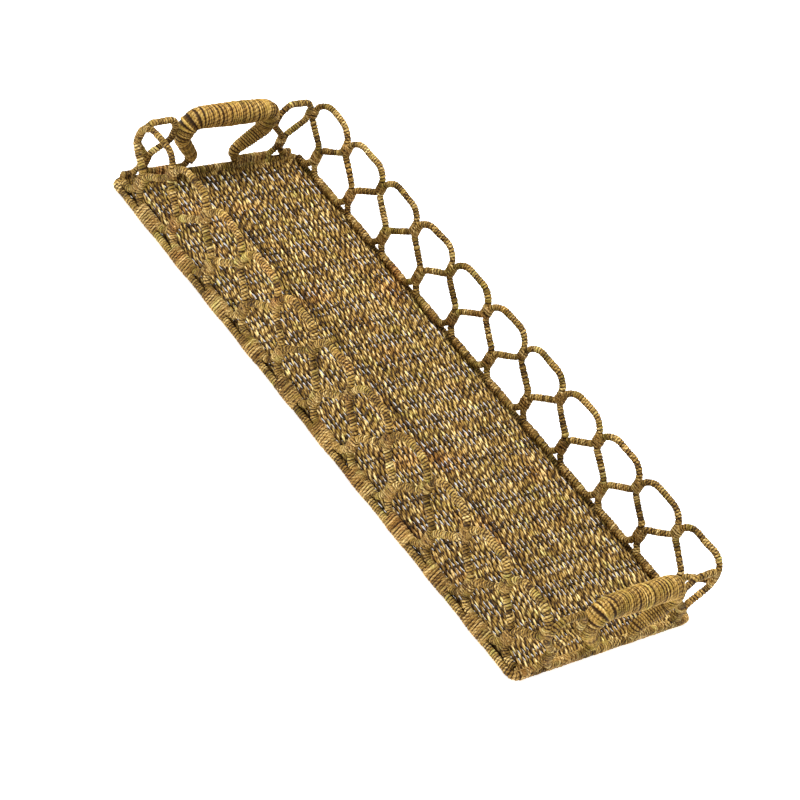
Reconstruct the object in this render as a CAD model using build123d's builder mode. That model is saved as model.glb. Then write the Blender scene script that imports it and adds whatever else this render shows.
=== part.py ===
"""Long, low bread basket: a steel-wire tray frame wrapped and woven with two-ply seagrass twine.

Frame: X runs along the tray, Y across it, Z up. The origin is the middle of the footprint, on the
surface that the tray stands on. Front is -Y, back +Y, left -X and right +X. Millimetres.

One wire is bent into a row of onion-shaped loops that stands round the whole tray. Each loop has a
narrow neck where its two sides are tied together, and swells until it touches the loops beside it,
where it is tied to them. Between two loops the wire runs along the rim, to which it is bound. In the
middle of each end the same wire makes one large loop, wrapped thickly: the handle.
"""
from build123d import *
import os
from math import atan2, degrees

# ---- driving dimensions ----------------------------------------------------------------------------
LOOP_PITCH = 40.8                 # distance between the middles of neighbouring loops
LOOP_COUNT = 11                   # loops along each long wall
FIT_GAP = 0.05                    # air between a wire and the twine wrapped on it

RIM_ROD_RADIUS = 1.5              # steel rod round the base
RIM_RADIUS = 2.4                  # the rod with its twine
RIM_CORNER_RADIUS = 6.0
RIM_X = 222.6                     # rod centre line at the ends
RIM_Y = 81.5                      # rod centre line along the sides
TIE_THICKNESS = 0.6               # twine wound round two cords
RIM_Z = RIM_RADIUS + TIE_THICKNESS
RIM_SIDE_WRAP_HALF = 214.0        # the side wraps stop short of the corners

WIRE_RADIUS = 1.2                 # steel wire of the loops and handles
CORD_RADIUS = 1.95                # the wire with its twine
NECK_OFFSET = CORD_RADIUS + FIT_GAP
WALL_Y = 79.0                     # plane of the long walls
WALL_X = LOOP_PITCH * LOOP_COUNT / 2  # plane of the end walls

# heights of one loop of the long walls, at its control points
FOOT_RISE = 4.2                   # from the rim to the cord that lies along it
FOOT_Z = RIM_Z + FOOT_RISE
NECK_LOW_Z = 12.9
NECK_HIGH_Z = 26.0
SIDE_LOW_Z = 39.3
SIDE_HIGH_Z = 49.8
CROWN_Z = 56.5
FOOT_REACH = 6.5                  # half spread of a loop's feet
FOOT_END_X = 218.5                # where the cord on the rim stops short of the corner
CROWN_HALF = 11.0                 # half of a loop's flat top
LOOP_BENDS = [5, 6, 6, 4, 9, 12, 12, 9, 4, 6, 6, 5]  # corner radii of one loop's route

# loops beside the handles
END_NECK_Y = 61.2
END_NECK_HIGH_Z = 24.0
END_INNER_Y = 47.1                # side that touches the handle
END_INNER_LOW_Z = 34.0
END_INNER_HIGH_Z = 45.3
END_GAP = 3.8                     # from the long wall to the last side of an end loop
END_OUTER_Y = WALL_Y - END_GAP    # side that touches the corner loop of the long wall
END_OUTER_LOW_Z = 36.8
END_OUTER_HIGH_Z = 47.3
END_CROWN_Z = 52.8
END_CROWN_INSET = 5.5
END_LOOP_BENDS = [4, 5, 6, 6, 6, 6, 6, 6, 6, 6, 6, 6, 5]

# handles
HANDLE_HALF = 37.0                # half width between the legs at the shoulders
HANDLE_TOP_Z = 51.5
HANDLE_SHOULDER_Z = 33.5
HANDLE_NECK_Y = 18.8              # the legs are closest here and spread again below
HANDLE_NECK_Z = 16.5
HANDLE_FOOT_Y = 20.6
HANDLE_BEND = 9.5                 # radius at the two top corners
SHOULDER_BEND = 8.0
LEG_BEND = 5.5
GRIP_RADIUS = 8.0
LEG_RADIUS = 5.0
GRIP_END_Z = 38.0                 # where the thick grip stops on each leg
LEG_END_Z = 12.2                  # where the leg wrap stops above the rim

# base
CROSS_ROD_COUNT = 24
CROSS_ROD_PITCH = 18.3
CROSS_ROD_RADIUS = 0.9
CROSS_ROD_HALF = RIM_Y - RIM_ROD_RADIUS - FIT_GAP
MAT_HALF_X = 219.2
MAT_HALF_Y = 75.8
MAT_THICKNESS = 5.6

# ties and bindings
CROWN_TIE = (41.3, 45.9)          # lowest and highest edge of the ties between loops
NECK_TIE = (15.1, 22.8)
END_NECK_TIE = (15.1, 21.2)
CORNER_TIE = (41.4, 45.0)
BINDING_LENGTH = 22.0
END_BINDING_Y = 38.0

os.makedirs("parts", exist_ok=True)


# ---- planes and routes -----------------------------------------------------------------------------
def long_wall_plane(y):
    """Local x along the tray, local y upwards."""
    return Plane(origin=(0, y, 0), x_dir=(1, 0, 0), z_dir=(0, -1, 0))


def end_wall_plane(x):
    """Local x across the tray, local y upwards."""
    return Plane(origin=(x, 0, 0), x_dir=(0, 1, 0), z_dir=(1, 0, 0))


def loop_points(middle):
    """Corners of one loop's route, from its left foot over the crown to its right foot."""
    side = LOOP_PITCH / 2 - NECK_OFFSET
    left = [
        (-FOOT_REACH, FOOT_Z),
        (-NECK_OFFSET, NECK_LOW_Z),
        (-NECK_OFFSET, NECK_HIGH_Z),
        (-side, SIDE_LOW_Z),
        (-side, SIDE_HIGH_Z),
        (-CROWN_HALF, CROWN_Z),
    ]
    right = [(-x, z) for x, z in reversed(left)]
    return [(middle + x, z) for x, z in left + right]


def long_wall_route():
    """All the loops of one long wall in one line, with a short run on the rim at each corner."""
    points = [(-FOOT_END_X, FOOT_Z)]
    for index in range(LOOP_COUNT):
        points += loop_points(-WALL_X + LOOP_PITCH * (index + 0.5))
    points.append((FOOT_END_X, FOOT_Z))
    return points, LOOP_BENDS * LOOP_COUNT


def end_loop_route(side):
    """The loop between a handle and a corner; side is 1 towards the back and -1 towards the front."""
    spread = (HANDLE_FOOT_Y - HANDLE_NECK_Y) / (HANDLE_NECK_Z - LEG_END_Z)
    points = [
        (HANDLE_FOOT_Y + spread * FIT_GAP, LEG_END_Z - FIT_GAP),
        (HANDLE_FOOT_Y + spread * (LEG_END_Z - FOOT_Z), FOOT_Z),
        (END_NECK_Y - FOOT_REACH, FOOT_Z),
        (END_NECK_Y - NECK_OFFSET, NECK_LOW_Z),
        (END_NECK_Y - NECK_OFFSET, END_NECK_HIGH_Z),
        (END_INNER_Y, END_INNER_LOW_Z),
        (END_INNER_Y, END_INNER_HIGH_Z),
        (END_INNER_Y + END_CROWN_INSET, END_CROWN_Z),
        (END_OUTER_Y - END_CROWN_INSET, END_CROWN_Z),
        (END_OUTER_Y, END_OUTER_HIGH_Z),
        (END_OUTER_Y, END_OUTER_LOW_Z),
        (END_NECK_Y + NECK_OFFSET, END_NECK_HIGH_Z),
        (END_NECK_Y + NECK_OFFSET, NECK_LOW_Z),
        (END_NECK_Y + FOOT_REACH, FOOT_Z),
        (END_OUTER_Y, FOOT_Z),
    ]
    return [(side * y, z) for y, z in points], END_LOOP_BENDS


def handle_wire_route():
    """The handle's wire from the foot of one leg, over the grip, to the foot of the other."""
    left = [
        (-HANDLE_FOOT_Y, LEG_END_Z),
        (-HANDLE_NECK_Y, HANDLE_NECK_Z),
        (-HANDLE_HALF, HANDLE_SHOULDER_Z),
        (-HANDLE_HALF, HANDLE_TOP_Z),
    ]
    right = [(-y, z) for y, z in reversed(left)]
    bends = [LEG_BEND, SHOULDER_BEND, HANDLE_BEND, HANDLE_BEND, SHOULDER_BEND, LEG_BEND]
    return left + right, bends


def grip_route():
    """The thick part of the handle, from shoulder to shoulder."""
    left = [(-HANDLE_HALF, GRIP_END_Z + FIT_GAP), (-HANDLE_HALF, HANDLE_TOP_Z)]
    right = [(-y, z) for y, z in reversed(left)]
    return left + right, [HANDLE_BEND, HANDLE_BEND]


def leg_route(side):
    """One leg of the handle, from under the grip down to its foot."""
    points = [
        (HANDLE_HALF, GRIP_END_Z),
        (HANDLE_HALF, HANDLE_SHOULDER_Z),
        (HANDLE_NECK_Y, HANDLE_NECK_Z),
        (HANDLE_FOOT_Y, LEG_END_Z),
    ]
    return [(side * y, z) for y, z in points], [SHOULDER_BEND, LEG_BEND]


# ---- pieces ----------------------------------------------------------------------------------------
def cord(route, plane, radius, bore=0.0):
    """A round cord along a route with rounded corners; a bore makes it the twine round a wire."""
    points, bends = route
    with BuildPart() as piece:
        with BuildLine(plane) as line:
            FilletPolyline(*points, radius=bends)
        with BuildSketch(Plane(origin=line.line @ 0, z_dir=line.line % 0)):
            Circle(radius)
            if bore:
                Circle(bore, mode=Mode.SUBTRACT)
        sweep()
    return piece


def rim_rod_ring():
    """The steel rod round the base, one closed rectangle with round corners."""
    corners = [(RIM_X, RIM_Y), (-RIM_X, RIM_Y), (-RIM_X, -RIM_Y), (RIM_X, -RIM_Y)]
    with BuildPart() as piece:
        with BuildLine(Plane.XY.offset(RIM_Z)) as line:
            FilletPolyline(*corners, radius=RIM_CORNER_RADIUS, close=True)
        with BuildSketch(Plane(origin=line.line @ 0, z_dir=line.line % 0)):
            Circle(RIM_ROD_RADIUS)
        sweep()
    return piece


def cross_rod_circles(radius, half):
    """The outlines of the rods across the base, on the plane of their ends at the back."""
    with BuildSketch(Plane.XZ.offset(-half)) as section:
        with Locations((0, RIM_Z)):
            with GridLocations(CROSS_ROD_PITCH, 0, CROSS_ROD_COUNT, 1):
                Circle(radius)
    return section.sketch


def cut_rod_ways():
    """Cuts the ways of the cross rods through the piece being built, as far as the rim rod's middle."""
    ways = cross_rod_circles(CROSS_ROD_RADIUS + FIT_GAP, RIM_Y)
    extrude(ways, amount=2 * RIM_Y, mode=Mode.SUBTRACT)


def rim_side_wrap(side):
    """Twine on the rod along one long side, with a way through it for each cross rod."""
    start = (-side * RIM_SIDE_WRAP_HALF, side * RIM_Y, RIM_Z)
    with BuildPart() as piece:
        with BuildSketch(Plane(origin=start, x_dir=(0, side, 0), z_dir=(side, 0, 0))):
            Circle(RIM_RADIUS)
            Circle(RIM_ROD_RADIUS + FIT_GAP, mode=Mode.SUBTRACT)
        extrude(amount=2 * RIM_SIDE_WRAP_HALF)
        cut_rod_ways()
    return piece


def rim_end_wrap(side):
    """Twine on the rod across one end and round its two corners."""
    start = RIM_SIDE_WRAP_HALF + FIT_GAP
    points = [
        (side * start, -RIM_Y, RIM_Z),
        (side * RIM_X, -RIM_Y, RIM_Z),
        (side * RIM_X, RIM_Y, RIM_Z),
        (side * start, RIM_Y, RIM_Z),
    ]
    route = (points, [RIM_CORNER_RADIUS, RIM_CORNER_RADIUS])
    return cord(route, Plane.XY, RIM_RADIUS, RIM_ROD_RADIUS + FIT_GAP)


def cross_rods():
    """The rods across the base, welded to the rim rod at both ends."""
    with BuildPart() as piece:
        extrude(cross_rod_circles(CROSS_ROD_RADIUS, CROSS_ROD_HALF), amount=2 * CROSS_ROD_HALF)
    return piece


def mat():
    """The woven floor: lengthwise twines over and under the cross rods, as one flat sheet."""
    with BuildPart() as piece:
        with BuildSketch():
            Rectangle(2 * MAT_HALF_X, 2 * MAT_HALF_Y)
        extrude(amount=MAT_THICKNESS)
        cut_rod_ways()
    return piece


def ties(places, low, high):
    """Bands of twine round two upright cords; a place is the middle and the direction of the pair."""
    inner = CORD_RADIUS + FIT_GAP / 2
    outer = inner + TIE_THICKNESS
    with BuildPart() as piece:
        with BuildSketch(Plane.XY.offset(low)):
            for x, y, angle, spacing in places:
                with Locations(Location((x, y), angle)):
                    SlotCenterToCenter(spacing, 2 * outer)
                    SlotCenterToCenter(spacing, 2 * inner, mode=Mode.SUBTRACT)
        extrude(amount=high - low)
    return piece


def binding_section(plane, wall, rim, growth):
    """Outline of a band round a wall cord and the rim below it."""
    with BuildSketch(plane) as section:
        with Locations((wall, FOOT_Z)):
            Circle(CORD_RADIUS + growth)
        with Locations((rim, RIM_Z)):
            Circle(RIM_RADIUS + growth)
        make_hull()
    return section.sketch


def bindings(plane_at, places, wall, rim):
    """Bands of twine that bind the feet of the loops to the rim; a place is the start of a band."""
    with BuildPart() as piece:
        for start in places:
            plane = plane_at(start)
            extrude(binding_section(plane, wall, rim, TIE_THICKNESS), amount=BINDING_LENGTH)
            extrude(
                binding_section(plane, wall, rim, FIT_GAP / 2),
                amount=BINDING_LENGTH,
                mode=Mode.SUBTRACT,
            )
        cut_rod_ways()
    return piece


def write(piece, name):
    """Names a finished piece and writes it as its own file."""
    piece.part.label = name
    export_step(piece.part, f"parts/{name}.step")


# ---- base ------------------------------------------------------------------------------------------
write(rim_rod_ring(), "rim_rod")
write(rim_side_wrap(-1), "rim_wrap_front")
write(rim_side_wrap(1), "rim_wrap_back")
write(rim_end_wrap(-1), "rim_wrap_left")
write(rim_end_wrap(1), "rim_wrap_right")
write(cross_rods(), "base_cross_rods")
write(mat(), "woven_mat")

# ---- long walls ------------------------------------------------------------------------------------
joints = [-WALL_X + LOOP_PITCH * index for index in range(1, LOOP_COUNT)]
necks = [-WALL_X + LOOP_PITCH * (index + 0.5) for index in range(LOOP_COUNT)]
pair = 2 * NECK_OFFSET
for name, side in (("front", -1), ("back", 1)):
    plane = long_wall_plane(side * WALL_Y)
    write(cord(long_wall_route(), plane, WIRE_RADIUS), f"{name}_loop_wire")
    write(cord(long_wall_route(), plane, CORD_RADIUS, WIRE_RADIUS + FIT_GAP), f"{name}_loop_wrap")
    crown_places = [(x, side * WALL_Y, 0, pair) for x in joints]
    write(ties(crown_places, *CROWN_TIE), f"{name}_crown_ties")
    neck_places = [(x, side * WALL_Y, 0, pair) for x in necks]
    write(ties(neck_places, *NECK_TIE), f"{name}_neck_ties")
    band_starts = [x - BINDING_LENGTH / 2 for x in joints]
    write(bindings(Plane.YZ.offset, band_starts, side * WALL_Y, side * RIM_Y), f"{name}_foot_bindings")

# ---- end walls and handles -------------------------------------------------------------------------
for name, end in (("left", -1), ("right", 1)):
    plane = end_wall_plane(end * WALL_X)
    for side_name, side in (("front", -1), ("back", 1)):
        route = end_loop_route(side)
        write(cord(route, plane, WIRE_RADIUS), f"{name}_{side_name}_loop_wire")
        write(cord(route, plane, CORD_RADIUS, WIRE_RADIUS + FIT_GAP), f"{name}_{side_name}_loop_wrap")
        leg = cord(leg_route(side), plane, LEG_RADIUS, WIRE_RADIUS + FIT_GAP)
        write(leg, f"{name}_handle_{side_name}_leg")
    write(cord(handle_wire_route(), plane, WIRE_RADIUS), f"{name}_handle_wire")
    write(cord(grip_route(), plane, GRIP_RADIUS, WIRE_RADIUS + FIT_GAP), f"{name}_handle_grip")
    neck_places = [(end * WALL_X, side * END_NECK_Y, 90, pair) for side in (-1, 1)]
    write(ties(neck_places, *END_NECK_TIE), f"{name}_neck_ties")
    band_starts = [side * END_BINDING_Y - BINDING_LENGTH / 2 for side in (-1, 1)]
    bands = bindings(Plane.XZ.offset, band_starts, end * WALL_X, end * RIM_X)
    write(bands, f"{name}_foot_bindings")

corner_step = Vector(NECK_OFFSET, END_OUTER_Y - WALL_Y)
corner_slant = degrees(atan2(corner_step.Y, corner_step.X))
corner_places = [
    (
        end * (WALL_X - NECK_OFFSET / 2),
        side * (WALL_Y + END_OUTER_Y) / 2,
        end * side * corner_slant,
        corner_step.length,
    )
    for end in (-1, 1)
    for side in (-1, 1)
]
write(ties(corner_places, *CORNER_TIE), "corner_ties")
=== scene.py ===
"""Bread basket of seagrass twine on a wire frame: the visual model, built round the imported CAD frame.

Lengths are millimetres until a mesh is made, which turns them into metres. Routes and sizes repeat
the CAD source's formulas, and the rim's place comes from the frame's own boxes. The twine is a little
thicker than the CAD's plain sleeves, and the two cords of a neck are pressed together by SQUEEZE.
"""
from math import atan2, ceil, cos, hypot, pi, radians, sin, tan

import bpy
import numpy as np
from mathutils import Matrix, Vector


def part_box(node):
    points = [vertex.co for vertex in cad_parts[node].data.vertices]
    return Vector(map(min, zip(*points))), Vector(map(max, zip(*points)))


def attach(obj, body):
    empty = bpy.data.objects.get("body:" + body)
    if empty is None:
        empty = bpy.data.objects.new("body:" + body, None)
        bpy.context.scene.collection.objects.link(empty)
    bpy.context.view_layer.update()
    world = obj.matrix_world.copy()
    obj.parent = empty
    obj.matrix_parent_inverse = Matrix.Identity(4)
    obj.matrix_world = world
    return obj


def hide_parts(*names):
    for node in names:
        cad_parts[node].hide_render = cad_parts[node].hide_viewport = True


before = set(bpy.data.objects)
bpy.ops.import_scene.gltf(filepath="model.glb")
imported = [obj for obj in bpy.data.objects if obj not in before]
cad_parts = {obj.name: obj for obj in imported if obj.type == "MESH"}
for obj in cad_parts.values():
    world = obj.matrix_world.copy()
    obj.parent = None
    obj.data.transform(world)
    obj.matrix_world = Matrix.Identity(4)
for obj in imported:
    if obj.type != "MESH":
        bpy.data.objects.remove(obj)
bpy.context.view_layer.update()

MM = 0.001
rng = np.random.default_rng(570)

# ---- sizes, as in the CAD source -------------------------------------------------------------------
LOOP_PITCH, LOOP_COUNT = 40.8, 11
FIT_GAP = 0.05
RIM_RADIUS, RIM_CORNER_RADIUS, TIE_THICKNESS = 2.4, 6.0, 0.6
RIM_Z = RIM_RADIUS + TIE_THICKNESS
RIM_SIDE_WRAP_HALF = 214.0
CORD_RADIUS = 1.95
NECK_OFFSET = CORD_RADIUS + FIT_GAP
WALL_Y, WALL_X = 79.0, LOOP_PITCH * LOOP_COUNT / 2
FOOT_Z = RIM_Z + 4.2
NECK_LOW_Z, NECK_HIGH_Z, SIDE_LOW_Z, SIDE_HIGH_Z, CROWN_Z = 12.9, 26.0, 39.3, 49.8, 56.5
FOOT_REACH, FOOT_END_X, CROWN_HALF = 6.5, 218.5, 11.0
LOOP_BENDS = [5, 6, 6, 4, 9, 12, 12, 9, 4, 6, 6, 5]
END_NECK_Y, END_NECK_HIGH_Z = 61.2, 24.0
END_INNER_Y, END_INNER_LOW_Z, END_INNER_HIGH_Z = 47.1, 34.0, 45.3
END_OUTER_Y, END_OUTER_LOW_Z, END_OUTER_HIGH_Z = WALL_Y - 3.8, 36.8, 47.3
END_CROWN_Z, END_CROWN_INSET = 52.8, 5.5
END_LOOP_BENDS = [4, 5, 6, 6, 6, 6, 6, 6, 6, 6, 6, 6, 5]
HANDLE_HALF, HANDLE_TOP_Z, HANDLE_SHOULDER_Z = 37.0, 51.5, 33.5
HANDLE_NECK_Y, HANDLE_NECK_Z, HANDLE_FOOT_Y = 18.8, 16.5, 20.6
HANDLE_BEND, SHOULDER_BEND, LEG_BEND = 9.5, 8.0, 5.5
GRIP_END_Z, LEG_END_Z = 38.0, 12.2
CROSS_ROD_COUNT, CROSS_ROD_PITCH = 24, 18.3
BINDING_LENGTH, END_BINDING_Y = 22.0, 38.0


def highest_mm(node):
    """The highest corner of a CAD node's box."""
    return np.array(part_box(node)[1]) / MM


RIM_X = highest_mm("rim_wrap_right")[0] - RIM_RADIUS
RIM_Y = highest_mm("rim_wrap_back")[1] - RIM_RADIUS

# ---- the twine's own sizes -------------------------------------------------------------------------
STROKE_PITCH = 1.9                # one turn of the twine along a wrapped cord
GRIP_PITCH = 1.75
TIE_PITCH = 1.9
BINDING_PITCH = 2.05
RIM_END_PITCH = 1.95
MARK_LENGTH = 3.0                 # between two ply marks along a turn
MARK_SLOPE = 0.39                 # ply marks per millimetre across the turns
DRIFT = 3.7                       # how far the fibres move sideways in one turn
GROOVE_DEPTH = 0.62               # between two turns of a cord
TIE_GROOVE = 0.75                 # between two turns of a tie, a binding or an end rim
PLY_RELIEF = 0.50                 # share of the groove's depth that a ply mark is cut in
ACROSS = (0.0, 0.17, 0.38, 0.62, 0.83)  # places of the mesh rows across one turn
GROOVE_SLIP = 0.4                 # share of a turn's slip that the groove beside it takes
TURN_LEAN = 1.5                   # spread of the direction in which turns lean, in radians
FATNESS = 0.14                    # spread of the turns' thickness
SQUEEZE = 0.35                    # how far two tied cords press into each other, each

# radii from a core's middle to the twine's top
CORD_TOP = 2.50
CORD_SWELL = 0.10                 # how much that comes and goes along the cord
RIM_TOP = RIM_RADIUS + 0.1
RIM_END_SWELL = ((0, 9), (0.3, 0.9))  # distance from an end of the wrap, and what is added there
LEG_RADII = ((0, 8, 18, 26, 34), (6.2, 5.5, 5.1, 4.5, 3.8))  # distance from the grip, and the radius
GRIP_RADII = ((0, 6, 20, 30), (6.5, 7.2, 8.0, 8.2))  # distance from an end of the grip, and the radius
GRIP_RADIUS, LEG_RADIUS = 8.0, 5.0    # typical ones, which set the spacing of the ply marks

# lowest and highest edge of each kind of tie
CROWN_TIE = (40.3, 48.0)
NECK_TIE = (14.2, 23.4)
END_NECK_TIE = (14.4, 22.0)
CORNER_TIE = (40.8, 46.4)
TIE_SPREAD = 0.4                  # of those edges
TIE_LIFT, TIE_BELLY = 0.05, 0.25  # of a tie over the cords' twine: at its edges, and more in its middle
BAND_LIFT, BAND_BELLY = 0.35, 0.25  # of a binding over the rim and over a foot's cord
FOOT_TOP = CORD_TOP - 0.2         # radius of that cord where the binding presses it

# extra bands on the end walls, either side of a neck's foot: where each starts, and its length
BAND_BEFORE_NECK = (END_BINDING_Y + BINDING_LENGTH / 2 + 0.4, 5.6)
BAND_AFTER_NECK = (END_NECK_Y + 6.2, 8.2)


# ---- routes ----------------------------------------------------------------------------------------
def lengths_along(line):
    """The length of a line up to each of its points."""
    return np.r_[0, np.cumsum(np.linalg.norm(np.diff(line, axis=0), axis=1))]


def rounded(points, bends, spacing=0.35):
    """Evenly spaced points along a line through the given corners, each rounded by its bend radius."""
    points = [np.array(p, float) for p in points]
    line = [points[0]]
    for a, b, c, bend in zip(points, points[1:], points[2:], bends):
        into, out = (b - a) / np.linalg.norm(b - a), (c - b) / np.linalg.norm(c - b)
        turn = np.arccos(np.clip(into @ out, -1, 1))
        if turn < 1e-6:
            continue
        reach = bend * tan(turn / 2)
        start, end = b - into * reach, b + out * reach
        side = out - into * (into @ out)
        side /= np.linalg.norm(side)
        middle = start + side * bend
        for step in np.linspace(0, turn, max(3, ceil(turn * bend / spacing) + 1)):
            line.append(middle - side * bend * cos(step) + into * bend * sin(step))
        line[-1] = end
    line.append(points[-1])
    line = np.array(line)
    along = lengths_along(line)
    keep = np.r_[True, np.diff(along) > 1e-9]
    line, along = line[keep], along[keep]
    even = np.linspace(0, along[-1], max(2, ceil(along[-1] / spacing) + 1))
    return np.stack([np.interp(even, along, line[:, k]) for k in range(line.shape[1])], -1)


def on_long_wall(route, side):
    """Turns (along, up) into points of the long wall at the back (1) or front (-1)."""
    return np.stack([route[:, 0], np.full(len(route), side * WALL_Y), route[:, 1]], -1)


def on_end_wall(route, end):
    """Turns (across, up) into points of the end wall at the right (1) or left (-1)."""
    return np.stack([np.full(len(route), end * WALL_X), route[:, 0], route[:, 1]], -1)


def mirrored(half):
    return half + [(-x, z) for x, z in reversed(half)]


def loop_points(middle):
    close = NECK_OFFSET - SQUEEZE
    side = LOOP_PITCH / 2 - close
    half = [
        (-FOOT_REACH, FOOT_Z), (-close, NECK_LOW_Z), (-close, NECK_HIGH_Z),
        (-side, SIDE_LOW_Z), (-side, SIDE_HIGH_Z), (-CROWN_HALF, CROWN_Z),
    ]
    return [(middle + x, z) for x, z in mirrored(half)]


def long_wall_route():
    points = [(-FOOT_END_X, FOOT_Z)]
    for index in range(LOOP_COUNT):
        points += loop_points(-WALL_X + LOOP_PITCH * (index + 0.5))
    points.append((FOOT_END_X, FOOT_Z))
    return rounded(points, LOOP_BENDS * LOOP_COUNT)


def end_loop_route(side):
    close = NECK_OFFSET - SQUEEZE
    spread = (HANDLE_FOOT_Y - HANDLE_NECK_Y) / (HANDLE_NECK_Z - LEG_END_Z)
    points = [
        (HANDLE_FOOT_Y, LEG_END_Z), (HANDLE_FOOT_Y + spread * (LEG_END_Z - FOOT_Z), FOOT_Z),
        (END_NECK_Y - FOOT_REACH, FOOT_Z), (END_NECK_Y - close, NECK_LOW_Z),
        (END_NECK_Y - close, END_NECK_HIGH_Z), (END_INNER_Y, END_INNER_LOW_Z),
        (END_INNER_Y, END_INNER_HIGH_Z), (END_INNER_Y + END_CROWN_INSET, END_CROWN_Z),
        (END_OUTER_Y - END_CROWN_INSET, END_CROWN_Z), (END_OUTER_Y, END_OUTER_HIGH_Z),
        (END_OUTER_Y, END_OUTER_LOW_Z), (END_NECK_Y + close, END_NECK_HIGH_Z),
        (END_NECK_Y + close, NECK_LOW_Z), (END_NECK_Y + FOOT_REACH, FOOT_Z),
        (END_OUTER_Y, FOOT_Z),
    ]
    return rounded([(side * y, z) for y, z in points], END_LOOP_BENDS)


def grip_route():
    points = mirrored([(-HANDLE_HALF, GRIP_END_Z + FIT_GAP), (-HANDLE_HALF, HANDLE_TOP_Z)])
    return rounded(points, [HANDLE_BEND, HANDLE_BEND])


def leg_route(side):
    points = [
        (HANDLE_HALF, GRIP_END_Z), (HANDLE_HALF, HANDLE_SHOULDER_Z),
        (HANDLE_NECK_Y, HANDLE_NECK_Z), (HANDLE_FOOT_Y, LEG_END_Z),
    ]
    return rounded([(side * y, z) for y, z in points], [SHOULDER_BEND, LEG_BEND])


# ---- meshes ----------------------------------------------------------------------------------------
TABLE_GAP = 0.02                  # under the twine that rests on the table
SWAY = 0.11                       # of each wave of the walls' unevenness
SWAY_FOOT_Z, SWAY_RISE = 9, 16    # where it begins, and the rise in which it grows to its full size
END_WALL_DEPTH = 9                # beside the end wall's plane, where the sway is across the tray
WALL_SHIFT = 37                   # between the waves of the front and of the back
SWAY_WAVES = [(rng.uniform(25, 90), rng.uniform(0, 2 * pi), rng.uniform(0, 2 * pi)) for _ in range(10)]


def unevenness(points):
    """Small smooth shifts of the walls along themselves and upwards, as in work done by hand."""
    x, y, z = points.T
    free = np.clip((z - SWAY_FOOT_Z) / SWAY_RISE, 0, 1)
    walls = np.sign(y) * WALL_SHIFT
    shift, lift = np.zeros(len(x)), np.zeros(len(x))
    for wave, one, two in SWAY_WAVES:
        run = 2 * pi * (x + y * 0.7 + walls) / wave
        shift += np.sin(run + one) * SWAY
        lift += np.sin(run + two) * SWAY
    moved = points.copy()
    ends = np.abs(x) > WALL_X - END_WALL_DEPTH
    moved[:, 0] += np.where(ends, 0, shift * free)
    moved[:, 1] += np.where(ends, shift * free, 0)
    moved[:, 2] += lift * free
    return moved


class Soup:
    """Vertices, faces and per-vertex values of one piece, gathered strand by strand."""

    def __init__(self):
        self.points, self.faces, self.values, self.count = [], [], [], 0

    def add(self, points, faces, tone, depth, fibre):
        """tone is the strand's colour, depth the painted shade, 0 in a groove and 1 on top where a painted
        highlight goes, fibre a place along the fibres.
        """
        self.points.append(points)
        self.faces += [f + self.count for f in faces]
        self.values.append(np.concatenate([tone[:, None], depth[:, None], fibre], 1))
        self.count += len(points)

    def build(self, name, material, slot, nodes):
        points = unevenness(np.concatenate(self.points))
        points[:, 2] = np.maximum(points[:, 2], TABLE_GAP)
        points = points * MM
        values = np.concatenate(self.values).astype(np.float32)
        mesh = bpy.data.meshes.new(name)
        counts = np.concatenate([np.full(len(f), f.shape[1], np.int32) for f in self.faces])
        corners = np.concatenate([f.ravel() for f in self.faces]).astype(np.int32)
        mesh.vertices.add(len(points))
        mesh.vertices.foreach_set("co", points.astype(np.float32).ravel())
        mesh.loops.add(len(corners))
        mesh.loops.foreach_set("vertex_index", corners)
        mesh.polygons.add(len(counts))
        mesh.polygons.foreach_set("loop_start", np.r_[0, np.cumsum(counts)[:-1]].astype(np.int32))
        mesh.polygons.foreach_set("loop_total", counts)
        mesh.update(calc_edges=True)
        mesh.polygons.foreach_set("use_smooth", np.ones(len(counts), bool))
        for key, column in (("tone", 0), ("depth", 1)):
            layer = mesh.attributes.new(key, "FLOAT", "POINT")
            layer.data.foreach_set("value", np.ascontiguousarray(values[:, column]))
        layer = mesh.attributes.new("fibre", "FLOAT_VECTOR", "POINT")
        layer.data.foreach_set("vector", np.ascontiguousarray(values[:, 2:5]).ravel())
        mesh.materials.append(material)
        piece = bpy.data.objects.new(name, mesh)
        bpy.context.scene.collection.objects.link(piece)
        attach(piece, "root")
        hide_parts(*nodes)


def wander(count, step, pull):
    """A slow random walk about nought, for the colour along a twine."""
    noise = rng.normal(0, step, count)
    out = np.zeros(count)
    for i in range(1, count):
        out[i] = out[i - 1] * (1 - pull) + noise[i]
    return out


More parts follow.
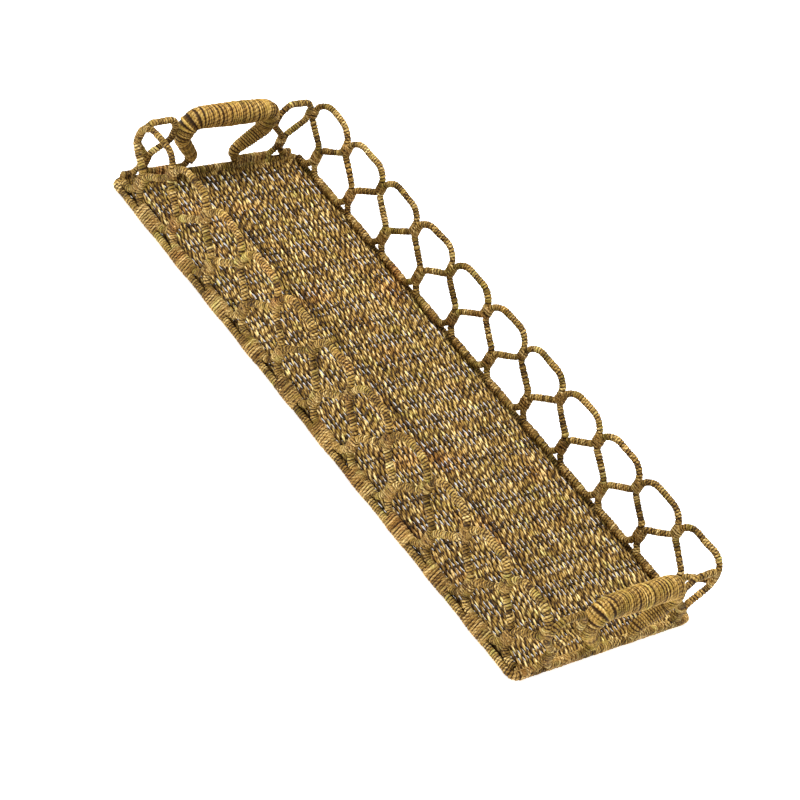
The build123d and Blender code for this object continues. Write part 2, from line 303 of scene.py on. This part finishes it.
def wound(soup, place, length, pitch, girth, around=20, depth=GROOVE_DEPTH, variety=0.5, slip=0.16,
          tilt=0.0):
    """One twine wound closely, turn beside turn, on a core.

    place(s, share) gives the core's surface point and its outward direction at s along the core and
    share of a turn round it. Variety is how much the turns differ in colour, slip how unevenly they
    are spaced, in turns, and tilt how far they lean, in millimetres. The mesh rows follow the turns,
    so that each groove is a crisp line."""
    across = len(ACROSS)
    turns = max(2, round(length / pitch))
    pitch = length / turns
    rings = (turns + 1) * across + 1
    ring = np.arange(-across, rings - across)
    turn, row = np.floor_divide(ring, across), np.mod(ring, across)
    part = np.array(ACROSS)[row][:, None]              # place across the turn, 0 in the groove
    share = (np.arange(around) / around)[None, :]
    strand = turn[:, None] + share                     # how many turns the twine has made
    draws = turns + 4

    def per_turn(values):
        return np.interp(strand + 1, np.arange(draws), values)

    shift = per_turn(rng.normal(0, slip, draws))
    lean = per_turn(rng.normal(0, 1, draws)) * TURN_LEAN
    s = (strand + part + shift * np.where(part > 0, 1, GROOVE_SLIP)) * pitch
    s = s + tilt * np.sin(2 * pi * share + lean)
    s = np.clip(s, 0, length)
    first, last = s <= 0, s >= length
    fat = per_turn(rng.normal(0, FATNESS, draws))
    bulge = np.sqrt(np.clip(1 - (2 * part - 1) ** 2, 0, 1))
    run = strand * girth
    across_fibre = part * pitch + strand * DRIFT
    ply = 1 - np.abs(np.cos(pi * (run / MARK_LENGTH + across_fibre * MARK_SLOPE))) ** 3
    height = depth * ((1 + fat) * bulge - 1) - depth * PLY_RELIEF * (1 - ply) * bulge
    base, outward = place(s, np.broadcast_to(share, s.shape))
    points = base + outward * height[..., None]

    # rows that were clipped at an end share that end's ring of vertices
    first_ring = np.arange(around)[None, :]
    last_ring = (rings - 1) * around + first_ring
    index = np.arange(rings)[:, None] * around + first_ring
    index = np.where(first, first_ring, index)
    index = np.where(last, last_ring, index)
    # beside the last column is the first column, one turn further on
    next_turn = np.r_[index[across:, :1], np.repeat(index[-1:, :1], across, 0)]
    beside = np.concatenate([index[:, 1:], next_turn], 1)
    quads = np.stack([index[:-1], beside[:-1], beside[1:], index[1:]], -1).reshape(-1, 4)
    # quads with one shared corner become triangles, and those with more are left out
    same = quads == np.roll(quads, -1, 1)
    whole = quads[~same.any(1)]
    single = same.sum(1) == 1
    order = (np.argmax(same[single], 1)[:, None] + np.arange(1, 4)[None, :]) % 4
    triangles = np.take_along_axis(quads[single], order, 1)

    tone = per_turn(wander(draws, 0.15 * variety, 0.10) + rng.normal(0, variety, draws))
    fibre = np.stack([run, across_fibre, np.full(s.shape, rng.uniform(0, 500))], -1)
    # values for painted shade: 0 in the grooves between turns, 1 on their tops where the material paints a
    # highlight; the closed ends get a middle value
    groove_shade = np.where(first | last, 0.7, np.clip(1 + height / depth, 0, 1))
    faces = [f for f in (whole, triangles, first_ring[:, ::-1], last_ring) if len(f)]
    soup.add(points.reshape(-1, 3), faces, tone.ravel(), groove_shade.ravel(), fibre.reshape(-1, 3))


def round_core(line, normal, radius):
    """place() for wound() and the length, on a cord along a planar line; radius(s) is to the twine's top."""
    normal = np.array(normal, float)
    along = lengths_along(line)
    tangent = np.gradient(line, along, axis=0)
    tangent /= np.linalg.norm(tangent, axis=1)[:, None]
    side = np.cross(normal, tangent)

    def place(s, share):
        at = np.stack([np.interp(s, along, line[:, k]) for k in range(3)], -1)
        out = np.stack([np.interp(s, along, side[:, k]) for k in range(3)], -1)
        angle = 2 * pi * share
        outward = out * np.cos(angle)[..., None] + normal * np.sin(angle)[..., None]
        outward /= np.linalg.norm(outward, axis=-1)[..., None]
        return at + outward * radius(s)[..., None], outward

    return place, along[-1]


def hull_outline(a, b, ra, rb, count, arc_points=60):
    """Even points, outward normals and girth of the band round two circles in a plane."""
    a, b = np.array(a, float), np.array(b, float)
    gap = np.linalg.norm(b - a)
    heading = atan2(*(b - a)[::-1])
    lean = np.arccos(np.clip((ra - rb) / gap, -1, 1)) if gap > 1e-6 else pi / 2
    pieces, normals = [], []
    for centre, r, start, end in ((a, ra, heading + lean, heading + 2 * pi - lean),
                                  (b, rb, heading - lean, heading + lean)):
        angle = np.linspace(start, end, arc_points)
        pieces.append(centre + r * np.stack([np.cos(angle), np.sin(angle)], -1))
        normals.append(np.stack([np.cos(angle), np.sin(angle)], -1))
    ring, out = np.concatenate(pieces), np.concatenate(normals)
    ring, out = np.r_[ring, ring[:1]], np.r_[out, out[:1]]
    along = lengths_along(ring)
    even = np.arange(count) / count * along[-1]
    points = np.stack([np.interp(even, along, ring[:, k]) for k in range(2)], -1)
    normal = np.stack([np.interp(even, along, out[:, k]) for k in range(2)], -1)
    return points, normal / np.linalg.norm(normal, axis=1)[:, None], along[-1]


def band_core(section, origin, axis, u, v, length, count, sections=9):
    """place() for wound() and the girth, on a band whose outline section(s) lies in the plane of u and v."""
    axis, u, v, origin = (np.array(x, float) for x in (axis, u, v, origin))
    stops = np.linspace(0, length, sections)
    outlines = [section(t) for t in stops]
    ring = np.array([o[0] for o in outlines])
    out = np.array([o[1] for o in outlines])
    girth = float(np.mean([o[2] for o in outlines]))

    def place(s, share):
        column = np.round(share * count).astype(int) % count
        where = s / length * (len(stops) - 1)
        low = np.clip(np.floor(where).astype(int), 0, len(stops) - 2)
        mix = (where - low)[..., None]
        flat = ring[low, column] * (1 - mix) + ring[low + 1, column] * mix
        face = out[low, column] * (1 - mix) + out[low + 1, column] * mix
        face /= np.linalg.norm(face, axis=-1)[..., None]
        points = origin + axis * s[..., None] + u * flat[..., :1] + v * flat[..., 1:]
        return points, u * face[..., :1] + v * face[..., 1:]

    return place, girth


# ---- materials -------------------------------------------------------------------------------------
def node(tree, kind, **inputs):
    made = tree.nodes.new(kind)
    for key, value in inputs.items():
        made.inputs[key.replace("_", " ")].default_value = value
    return made


def attribute(tree, name):
    made = tree.nodes.new("ShaderNodeAttribute")
    made.attribute_name = name
    return made


def noise(tree, vector, scale, detail, roughness, stretch=None):
    """Noise at a vector, which is first scaled by stretch along its axes."""
    if stretch:
        mapping = node(tree, "ShaderNodeMapping", Scale=stretch)
        tree.links.new(vector, mapping.inputs["Vector"])
        vector = mapping.outputs[0]
    made = node(tree, "ShaderNodeTexNoise", Scale=scale, Detail=detail, Roughness=roughness)
    tree.links.new(vector, made.inputs["Vector"])
    return made.outputs["Fac"]


def ramp(tree, factor, stops):
    made = tree.nodes.new("ShaderNodeValToRGB")
    elements = made.color_ramp.elements
    while len(elements) < len(stops):
        elements.new(0.5)
    for element, (place, colour) in zip(elements, stops):
        element.position = place
        element.color = (*colour, 1)
    tree.links.new(factor, made.inputs["Fac"])
    return made.outputs["Color"]


def maths(tree, kind, *operands):
    made = tree.nodes.new("ShaderNodeMath")
    made.operation = kind
    for socket, value in zip(made.inputs, operands):
        if isinstance(value, (int, float)):
            socket.default_value = value
        else:
            tree.links.new(value, socket)
    return made.outputs[0]


def blend_colour(tree, factor, a, b):
    """Colour a multiplied by b, as far as the factor says."""
    made = tree.nodes.new("ShaderNodeMix")
    made.data_type = "RGBA"
    made.blend_type = "MULTIPLY"
    for socket, value in ((made.inputs["Factor"], factor), (made.inputs[6], a), (made.inputs[7], b)):
        if isinstance(value, (int, float)):
            socket.default_value = value
        elif isinstance(value, tuple):
            socket.default_value = (*value, 1)
        else:
            tree.links.new(value, socket)
    return made.outputs[2]


def bare_material(name, **inputs):
    """A material with one Principled shader; returns the material, its node tree and the shader."""
    material = bpy.data.materials.new(name)
    material.use_nodes = True
    tree = material.node_tree
    tree.nodes.clear()
    out = tree.nodes.new("ShaderNodeOutputMaterial")
    shader = node(tree, "ShaderNodeBsdfPrincipled", **inputs)
    tree.links.new(shader.outputs[0], out.inputs["Surface"])
    return material, tree, shader


def add_bump(tree, shader, height, strength, distance):
    bump = node(tree, "ShaderNodeBump", Strength=strength, Distance=distance)
    tree.links.new(height, bump.inputs["Height"])
    tree.links.new(bump.outputs[0], shader.inputs["Normal"])


GREEN_TINT, RED_TINT = (0.72, 0.92, 0.50), (1.0, 0.66, 0.50)
# painted shade in the creases between the two plies of a twine, with a slight painted highlight on the plies
# between them
PLY_SHADES = [(0.0, (1.12, 1.12, 1.12)), (0.62, (0.95, 0.93, 0.88)), (0.86, (0.52, 0.45, 0.34)),
              (1.0, (0.20, 0.15, 0.09))]


def seagrass(name, straw, dark, light, red=0.6, green=0.7, crown_highlight=1.2, marks=0.6, streaky=0.6):
    """Dry twisted grass: fibres along the twine, patches of green and red, painted shade in the grooves and
    a painted highlight on the tops of the turns.

    Red, green and marks are the strengths of the red and green patches and of the ply marks, which are
    painted shade in the creases between the plies."""
    material, tree, shader = bare_material(name, Metallic=0.0, IOR=1.45, Specular_IOR_Level=0.18)
    fibre = attribute(tree, "fibre").outputs["Vector"]
    place = tree.nodes.new("ShaderNodeTexCoord").outputs["Object"]
    strands = noise(tree, fibre, 1.3, 3.0, 0.6, stretch=(0.22, 3.4, 1.0))
    streaks = noise(tree, fibre, 1.0, 2.0, 0.5, stretch=(0.05, 1.6, 1.0))
    patches = noise(tree, place, 85.0, 3.0, 0.6)
    clouds = noise(tree, place, 26.0, 2.0, 0.5)

    # from dark to light grass, by the fine strands, the long streaks and the turn's own tone
    mix = maths(tree, "MULTIPLY_ADD", strands, 1.5, -0.22 - streaky / 2)
    mix = maths(tree, "ADD", mix, maths(tree, "MULTIPLY", streaks, streaky))
    mix = maths(tree, "ADD", mix, maths(tree, "MULTIPLY", attribute(tree, "tone").outputs["Fac"], 0.26))
    halfway = tuple(0.55 * a + 0.45 * b for a, b in zip(dark, straw))
    colour = ramp(tree, mix, [(0.18, dark), (0.42, halfway), (0.58, straw), (0.86, light)])
    # where the patches of green and red are, and how strong
    greenish = ramp(tree, patches, [(0.50, (0, 0, 0)), (0.68, (green,) * 3)])
    colour = blend_colour(tree, greenish, colour, GREEN_TINT)
    reddish = ramp(tree, clouds, [(0.54, (0, 0, 0)), (0.74, (red,) * 3)])
    colour = blend_colour(tree, reddish, colour, RED_TINT)
    # painted shade and painted highlight: the depth attribute darkens the grooves between turns nearly to
    # black and lifts the tops of the turns above the straw's own colour
    groove = ramp(tree, attribute(tree, "depth").outputs["Fac"], [
        (0.0, (0.03, 0.018, 0.008)), (0.42, (0.18, 0.13, 0.08)), (0.72, (0.88, 0.84, 0.76)),
        (1.0, (crown_highlight,) * 3),
    ])
    colour = blend_colour(tree, 1.0, colour, groove)
    # ply marks: painted shade in the diagonal creases between the plies
    if marks:
        axes = tree.nodes.new("ShaderNodeSeparateXYZ")
        tree.links.new(fibre, axes.inputs[0])
        phase = maths(tree, "ADD", maths(tree, "MULTIPLY", axes.outputs["X"], pi / MARK_LENGTH),
                      maths(tree, "MULTIPLY", axes.outputs["Y"], pi * MARK_SLOPE))
        # noise keeps the marks from lining up
        phase = maths(tree, "ADD", phase, maths(tree, "MULTIPLY", strands, 3.2))
        phase = maths(tree, "ADD", phase, maths(tree, "MULTIPLY", patches, 5.0))
        wave = maths(tree, "ABSOLUTE", maths(tree, "COSINE", phase))
        colour = blend_colour(tree, marks, colour, ramp(tree, wave, PLY_SHADES))
    tree.links.new(colour, shader.inputs["Base Color"])
    tree.links.new(maths(tree, "MULTIPLY_ADD", strands, -0.25, 0.76), shader.inputs["Roughness"])
    add_bump(tree, shader, strands, 0.55, 0.00022)
    return material


def steel(name):
    """Dull dark wire, slightly uneven."""
    material, tree, shader = bare_material(name, Metallic=1.0)
    place = tree.nodes.new("ShaderNodeTexCoord").outputs["Object"]
    cloud = noise(tree, place, 160.0, 4.0, 0.65)
    colour = ramp(tree, cloud, [(0.3, (0.035, 0.028, 0.018)), (0.7, (0.11, 0.095, 0.07))])
    tree.links.new(colour, shader.inputs["Base Color"])
    tree.links.new(maths(tree, "MULTIPLY_ADD", cloud, 0.3, 0.45), shader.inputs["Roughness"])
    add_bump(tree, shader, cloud, 0.2, 0.0001)
    return material


STRAW, DARK, LIGHT = (0.54, 0.335, 0.080), (0.12, 0.065, 0.012), (1.0, 0.80, 0.38)
LOOP_TWINE = seagrass("loop_twine", STRAW, DARK, LIGHT, crown_highlight=1.25)
TIE_TWINE = seagrass("tie_twine", (0.50, 0.285, 0.075), DARK, LIGHT, red=1.0, green=0.6)
HANDLE_TWINE = seagrass("handle_twine", (0.60, 0.37, 0.085), (0.19, 0.10, 0.016), LIGHT, red=0.2,
                        green=0.5, crown_highlight=1.3, marks=0.40, streaky=0.12)
RIM_TWINE = seagrass("rim_twine", (0.50, 0.315, 0.075), DARK, LIGHT)
MAT_TWINE = seagrass("mat_twine", (0.46, 0.275, 0.060), (0.09, 0.045, 0.007), LIGHT, green=0.5, marks=0.0)
STEEL = steel("steel_wire")

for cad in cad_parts.values():
    cad.data.materials.clear()
    cad.data.materials.append(STEEL)

# ---- floor -----------------------------------------------------------------------------------------
ROW_COUNT = 79                    # lengthwise twines
ROW_POINTS = 430                  # mesh rings along a twine
ROW_LAY = 12.0                    # length of a full twist of its two plies
ROW_HALF_WIDTH, ROW_HALF_HEIGHT = 1.29, 1.12
WIDER_AT_RODS, LOWER_AT_RODS = 0.21, 0.04
FLOAT_RISE = 0.80                 # of a twine over a cross rod
LEVEL_LENGTH = 8.0                # in which the twines come level at the end bars
ROW_SLACK = ((-220, -60, 60, 220), (1.0, 0.8, 0.55, 0.35))  # places along the tray, share of SWERVE
SWERVE = 0.40                     # spread of the twines' shifts to the side
PLY_OUT, PLY_RADIUS = 0.33, 0.67   # shares of the twine's half width: two plies beside each other


def ply_outline():
    """Angles, radii and depths of the section of two plies twisted together."""
    angles = np.radians([0, 36, 66, 90, 114, 144, 180, 216, 246, 270, 294, 324])
    swing = np.abs(np.sin(angles))
    radii = PLY_OUT * np.abs(np.cos(angles)) + np.sqrt(PLY_RADIUS ** 2 - (PLY_OUT * swing) ** 2)
    return angles, radii, (radii - radii.min()) / (radii.max() - radii.min())


def floor_rows():
    """The lengthwise twines, each over one cross rod and under the next, the opposite of its neighbours."""
    soup = Soup()
    angles, radii, lobes = ply_outline()
    around = len(angles)
    half_x = RIM_X - RIM_RADIUS + 0.1                  # the twines' ends are inside the end rims' twine
    x = np.linspace(-half_x, half_x, ROW_POINTS)
    edge_y = RIM_Y - RIM_RADIUS - 1.3                  # the outer twines lie against the side rims
    rod_middle = (CROSS_ROD_COUNT - 1) / 2
    bay = x / CROSS_ROD_PITCH + rod_middle             # whole numbers at the rods
    level = np.clip((half_x - np.abs(x)) / LEVEL_LENGTH, 0, 1)
    over_rod = np.cos(pi * bay)                        # 1, -1, 1, ... from rod to rod
    flat = np.abs(over_rod) ** 1.3
    slack = np.interp(x, *ROW_SLACK)

    def along_row(spread, count):
        """Random values along a twine, count of them with smooth lines between."""
        return np.interp(x, np.linspace(-half_x, half_x, count), rng.normal(0, spread, count))

    first_ring = np.arange(around)[None, :]
    index = np.arange(ROW_POINTS)[:, None] * around + first_ring
    a, b = index[:-1], index[1:]
    quads = np.stack([a, np.roll(a, -1, 1), np.roll(b, -1, 1), b], -1).reshape(-1, 4)
    faces = [quads, first_ring[:, ::-1], index[-1:]]
    for number, y in enumerate(np.linspace(-edge_y, edge_y, ROW_COUNT)):
        up = 1 if number % 2 else -1
        thick = 1 + 0.08 * rng.normal()
        half_w = (ROW_HALF_WIDTH + WIDER_AT_RODS * flat) * (1 + 0.05 * rng.normal())
        half_h = (ROW_HALF_HEIGHT - LOWER_AT_RODS * flat) * thick
        z = RIM_Z + up * over_rod * FLOAT_RISE * level
        middle = y + along_row(SWERVE, 26) * slack
        spin = (2 * pi * (x / ROW_LAY + rng.uniform()) + along_row(0.8, 12))[:, None] + angles[None, :]
        wide = 1 + 0.09 * along_row(1, 60)
        py = middle[:, None] + (half_w * wide)[:, None] * radii * np.cos(spin)
        pz = z[:, None] + (half_h * wide)[:, None] * radii * np.sin(spin)
        points = np.stack([np.broadcast_to(x[:, None], py.shape), py, np.maximum(pz, TABLE_GAP)], -1)
        tone = rng.normal(0, 0.30) + wander(ROW_POINTS, 0.16, 0.08)
        tone = tone[:, None] + 0.25 * np.sign(np.cos(angles))[None, :] * rng.normal()
        # each twine has its own stretch of the noise that its material is made of
        fibre = np.stack([
            np.broadcast_to(x[:, None], py.shape) + number * 31.0,
            np.broadcast_to(angles[None, :] * 0.9, py.shape),
            np.full(py.shape, number * 7.3),
        ], -1)
        # painted shade: depth is dark in the waist between the two plies, on the lower half of each twine
        # and at its sides, where the rows meet
        high = np.clip((pz - z[:, None]) / half_h[:, None], -1, 1)
        beside = np.abs(np.cos(spin)) ** 3
        depth = (0.10 + 0.90 * lobes[None, :] ** 0.8) * (0.80 + 0.20 * high) * (1 - 0.62 * beside)
        soup.add(points.reshape(-1, 3), faces, tone.ravel(), depth.ravel(), fibre.reshape(-1, 3))
    return soup


floor_rows().build("floor_twines", MAT_TWINE, "mat_twine", ["woven_mat"])


# ---- rim -------------------------------------------------------------------------------------------
def between_ends(line, values):
    """radius(s) for round_core(); values are distances from the nearer end and the radii there."""
    length = lengths_along(line)[-1]
    return lambda s: np.interp(np.minimum(s, length - s), *values)


for name, side in (("front", -1), ("back", 1)):
    soup = Soup()
    ends = [(end * RIM_SIDE_WRAP_HALF, side * RIM_Y, RIM_Z) for end in (-1, 1)]
    place, length = round_core(rounded(ends, []), (0, 0, 1), lambda s: np.full(s.shape, RIM_TOP))
    wound(soup, place, length, STROKE_PITCH, 2 * pi * RIM_RADIUS)
    soup.build(f"rim_{name}_twine", RIM_TWINE, "rim_twine", [f"rim_wrap_{name}"])
for name, end in (("left", -1), ("right", 1)):
    soup = Soup()
    start = RIM_SIDE_WRAP_HALF + FIT_GAP
    corners = [(end * start, -RIM_Y, RIM_Z), (end * RIM_X, -RIM_Y, RIM_Z), (end * RIM_X, RIM_Y, RIM_Z),
               (end * start, RIM_Y, RIM_Z)]
    line = rounded(corners, [RIM_CORNER_RADIUS] * 2)
    swell = between_ends(line, RIM_END_SWELL)
    place, length = round_core(line, (0, 0, 1), lambda s: RIM_RADIUS + swell(s))
    wound(soup, place, length, RIM_END_PITCH, 2 * pi * RIM_RADIUS, depth=TIE_GROOVE, slip=0.2, tilt=0.3)
    soup.build(f"rim_{name}_twine", RIM_TWINE, "rim_twine", [f"rim_wrap_{name}"])


# ---- loops, ties and bindings ----------------------------------------------------------------------
def cord_radius(s):
    return CORD_TOP + CORD_SWELL * np.sin(s / 9.0) * np.sin(s / 23.0 + 1)


def spacing_at(route, middle, z):
    """Distance between the two sides of the wall's line at one height, near a place along it."""
    closest = 2 * (NECK_OFFSET - SQUEEZE)
    near = np.abs(route[:, 0] - middle) < 9
    level = np.abs(route[:, 1] - z) < 0.4
    left = route[near & level & (route[:, 0] < middle), 0]
    right = route[near & level & (route[:, 0] >= middle), 0]
    if not len(left) or not len(right):
        return closest
    return max(right.mean() - left.mean(), closest)


def upright_tie(soup, centre, heading, spacing, low, high, around=26):
    """Turns of twine round two upright cords; spacing(z) is the distance between them."""
    low = low + rng.normal(0, TIE_SPREAD)
    high = high + rng.normal(0, TIE_SPREAD)
    u = (cos(heading), sin(heading), 0)
    v = (-sin(heading), cos(heading), 0)

    def section(t):
        half = spacing(low + t) / 2
        radius = CORD_TOP + TIE_LIFT + TIE_BELLY * sin(pi * t / (high - low))
        return hull_outline((-half, 0), (half, 0), radius, radius, around)

    place, girth = band_core(section, (*centre, low), (0, 0, 1), u, v, high - low, around)
    wound(soup, place, high - low, TIE_PITCH, girth, around, slip=0.22, tilt=0.55, depth=TIE_GROOVE)


def foot_band(soup, start, axis, wall, rim, flat_axis, length, around=34):
    """Turns of twine that bind a cord of the wall to the rim below it."""
    def section(t):
        swell = BAND_LIFT + BAND_BELLY * sin(pi * t / length)
        return hull_outline((wall, FOOT_Z), (rim, RIM_Z), FOOT_TOP + swell, RIM_RADIUS + swell, around)

    place, girth = band_core(section, start, axis, flat_axis, (0, 0, 1), length, around)
    wound(soup, place, length, BINDING_PITCH, girth, around, slip=0.2, tilt=0.35, depth=TIE_GROOVE)


joints = [-WALL_X + LOOP_PITCH * index for index in range(1, LOOP_COUNT)]
necks = [-WALL_X + LOOP_PITCH * (index + 0.5) for index in range(LOOP_COUNT)]
wall_route = long_wall_route()
for name, side in (("front", -1), ("back", 1)):
    soup = Soup()
    place, length = round_core(on_long_wall(wall_route, side), (0, 1, 0), cord_radius)
    wound(soup, place, length, STROKE_PITCH, 2 * pi * CORD_RADIUS)
    soup.build(f"{name}_loop_twine", LOOP_TWINE, "loop_twine", [f"{name}_loop_wrap"])

    for kind, places, edges in (("crown", joints, CROWN_TIE), ("neck", necks, NECK_TIE)):
        soup = Soup()
        for x in places:
            upright_tie(soup, (x, side * WALL_Y), 0, lambda z: spacing_at(wall_route, x, z), *edges)
        soup.build(f"{name}_{kind}_tie_twine", TIE_TWINE, "tie_twine", [f"{name}_{kind}_ties"])

    soup = Soup()
    for x in joints:
        foot_band(soup, (x - BINDING_LENGTH / 2, 0, 0), (1, 0, 0), side * WALL_Y, side * RIM_Y, (0, 1, 0),
                  BINDING_LENGTH)
    soup.build(f"{name}_binding_twine", TIE_TWINE, "tie_twine", [f"{name}_foot_bindings"])

for name, end in (("left", -1), ("right", 1)):
    for side_name, side in (("front", -1), ("back", 1)):
        piece = f"{name}_{side_name}_loop"
        soup = Soup()
        place, length = round_core(on_end_wall(end_loop_route(side), end), (1, 0, 0), cord_radius)
        wound(soup, place, length, STROKE_PITCH, 2 * pi * CORD_RADIUS)
        soup.build(f"{piece}_twine", LOOP_TWINE, "loop_twine", [f"{piece}_wrap"])

        soup = Soup()
        line = on_end_wall(leg_route(side), end)
        place, length = round_core(line, (1, 0, 0), lambda s: np.interp(s, *LEG_RADII))
        wound(soup, place, length, GRIP_PITCH, 2 * pi * LEG_RADIUS, around=34, depth=0.8, variety=0.07)
        soup.build(f"{name}_{side_name}_leg_twine", HANDLE_TWINE, "handle_twine",
                   [f"{name}_handle_{side_name}_leg"])

    soup = Soup()
    line = on_end_wall(grip_route(), end)
    place, length = round_core(line, (1, 0, 0), between_ends(line, GRIP_RADII))
    wound(soup, place, length, GRIP_PITCH, 2 * pi * GRIP_RADIUS, around=52, depth=0.9, variety=0.07,
          slip=0.2, tilt=0.5)
    soup.build(f"{name}_grip_twine", HANDLE_TWINE, "handle_twine", [f"{name}_handle_grip"])

    soup = Soup()
    for side in (-1, 1):
        upright_tie(soup, (end * WALL_X, side * END_NECK_Y), pi / 2,
                    lambda z: 2 * (NECK_OFFSET - SQUEEZE), *END_NECK_TIE)
    soup.build(f"{name}_neck_tie_twine", TIE_TWINE, "tie_twine", [f"{name}_neck_ties"])

    soup = Soup()
    for side in (-1, 1):
        foot_band(soup, (0, side * END_BINDING_Y - BINDING_LENGTH / 2, 0), (0, 1, 0), end * WALL_X,
                  end * RIM_X, (1, 0, 0), BINDING_LENGTH)
        for nearest, band_length in (BAND_BEFORE_NECK, BAND_AFTER_NECK):
            start = min(side * nearest, side * (nearest + band_length))
            foot_band(soup, (0, start, 0), (0, 1, 0), end * WALL_X, end * RIM_X, (1, 0, 0), band_length)
    soup.build(f"{name}_binding_twine", TIE_TWINE, "tie_twine", [f"{name}_foot_bindings"])

# where the last loop of a long wall touches the last side of an end loop
corner_step = (NECK_OFFSET, END_OUTER_Y - WALL_Y)
soup = Soup()
for end in (-1, 1):
    for side in (-1, 1):
        upright_tie(soup, (end * (WALL_X - NECK_OFFSET / 2), side * (WALL_Y + END_OUTER_Y) / 2),
                    end * side * atan2(corner_step[1], corner_step[0]), lambda z: hypot(*corner_step),
                    *CORNER_TIE)
soup.build("corner_tie_twine", TIE_TWINE, "tie_twine", ["corner_ties"])

# ---- studio floor, light and camera ----------------------------------------------------------------
bpy.ops.mesh.primitive_plane_add(size=12, location=(0, 0, 0))
ground = bpy.context.object
ground.name = "studio_floor"
# a little light of its own makes the floor as pale as the photo's ground
ground.data.materials.append(bare_material(
    "studio_floor", Base_Color=(0.94, 0.94, 0.94, 1), Roughness=0.9, Emission_Color=(1, 1, 1, 1),
    Emission_Strength=0.8)[0])

world = bpy.data.worlds.new("studio")
bpy.context.scene.world = world
world.use_nodes = True
world.node_tree.nodes["Background"].inputs["Color"].default_value = (1, 1, 1, 1)
world.node_tree.nodes["Background"].inputs["Strength"].default_value = 0.26


def lamp(name, place, size, power):
    """A soft square light that faces the basket."""
    data = bpy.data.lights.new(name, "AREA")
    data.size = size
    data.energy = power
    made = bpy.data.objects.new(name, data)
    made.location = place
    made.rotation_euler = (-Vector(place)).to_track_quat("-Z", "Y").to_euler()
    bpy.context.scene.collection.objects.link(made)


lamp("key", (-0.5, -0.2, 1.9), 1.0, 62)
lamp("fill", (1.5, -1.3, 1.2), 1.4, 9)
bpy.context.scene.view_settings.view_transform = "Standard"

# in degrees and metres; the camera is rolled, and looks at a point a few millimetres beside the origin
CAMERA_AZIMUTH, CAMERA_ELEVATION, CAMERA_ROLL = radians(32.042), radians(36.057), radians(30.166)
CAMERA_DISTANCE, AIM_RIGHT, AIM_UP = 1.8466, 0.00459, -0.00071
CAMERA_LENS, CAMERA_SENSOR = 127.83, 36
back = Vector((sin(CAMERA_AZIMUTH) * cos(CAMERA_ELEVATION), -cos(CAMERA_AZIMUTH) * cos(CAMERA_ELEVATION),
               sin(CAMERA_ELEVATION)))
level = (-back).cross(Vector((0, 0, 1))).normalized()
upward = back.cross(level)
right = cos(CAMERA_ROLL) * level + sin(CAMERA_ROLL) * upward
up = -sin(CAMERA_ROLL) * level + cos(CAMERA_ROLL) * upward
camera_data = bpy.data.cameras.new("camera")
camera_data.sensor_width = CAMERA_SENSOR
camera_data.lens = CAMERA_LENS
camera_data.clip_end = 50
camera_data.dof.use_dof = False
camera = bpy.data.objects.new("camera", camera_data)
turned = Matrix((right, up, back)).transposed().to_4x4()
turned.translation = right * AIM_RIGHT + up * AIM_UP + back * CAMERA_DISTANCE
camera.matrix_world = turned
bpy.context.scene.collection.objects.link(camera)
bpy.context.scene.camera = camera
